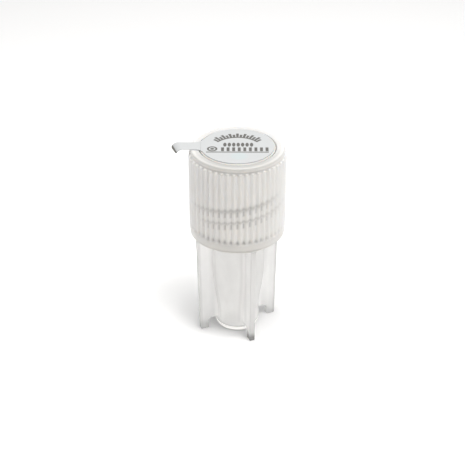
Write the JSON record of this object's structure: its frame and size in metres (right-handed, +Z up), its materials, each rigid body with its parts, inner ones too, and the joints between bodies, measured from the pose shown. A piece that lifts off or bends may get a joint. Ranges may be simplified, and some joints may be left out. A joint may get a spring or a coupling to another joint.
{
  "type": "self-standing indicator vial",
  "caption": "Small finned vial that stands on its own feet, with a ribbed turning closure ring, a press-down plunger under a peel-off round label, and a pull tab.",
  "frame": {"origin": "on the tube's axis at floor level, in the plane of the tube's flat base and the four feet", "axes": "+Z up along the tube's axis, -X towards the pull tab, -Y towards the side with the label's print upright"},
  "size_m": [0.0234, 0.02, 0.043],
  "materials": {
    "clear_polymer": "translucent moulded polypropylene, satin",
    "natural_polymer": "natural translucent polypropylene, ribbed, satin",
    "cup_polymer": "natural moulded polymer",
    "plunger_polymer": "white moulded polymer",
    "label_film": null,
    "foil": "heat-sealed foil",
    "pale_liquid": "clear pale liquid",
    "filter_felt": "non-woven filter",
    "seal_rubber": "moulded elastomer",
    "carrier_paper": "absorbent paper"
  },
  "bodies": {
    "vial": {"vial_body": "clear_polymer", "spore_carrier": "carrier_paper"},
    "plug": {"reservoir_cup": "cup_polymer", "foil_seal": "foil", "growth_medium": "pale_liquid", "vent_filter": "filter_felt"},
    "ring": {"cap_ring": "natural_polymer"},
    "plunger": {"plunger": "plunger_polymer", "plunger_seal": "seal_rubber"},
    "label": {"label_disc": "label_film"},
    "tab": {"pull_tab": "label_film"}
  },
  "joints": [
    {"name": "plug_lift", "type": "slide", "parent": "vial", "child": "plug", "axis": [0, 0, 1], "range_m": [0, 0.0056]},
    {"name": "cap_ring_turn", "type": "hinge", "parent": "plug", "child": "ring", "pos_m": [0, 0, 0.04], "axis": [0, 0, 1], "range_deg": [0, 240]},
    {"name": "plunger_press", "type": "slide", "parent": "plug", "child": "plunger", "axis": [0, 0, -1], "range_m": [0, 0.004], "deforming": ["growth_medium", "foil_seal"]},
    {"name": "label_peel", "type": "hinge", "parent": "plug", "child": "label", "pos_m": [0.00745, 0, 0.0428], "axis": [0, 1, 0], "range_deg": [0, 120]},
    {"name": "tab_lift", "type": "hinge", "parent": "label", "child": "tab", "pos_m": [-0.00745, 0, 0.043], "axis": [0, 1, 0], "range_deg": [0, 85]}
  ],
  "couplings": [
    {"joint": "plug_lift", "follows": "cap_ring_turn", "m_per_rad": 0.0013369}
  ]
}
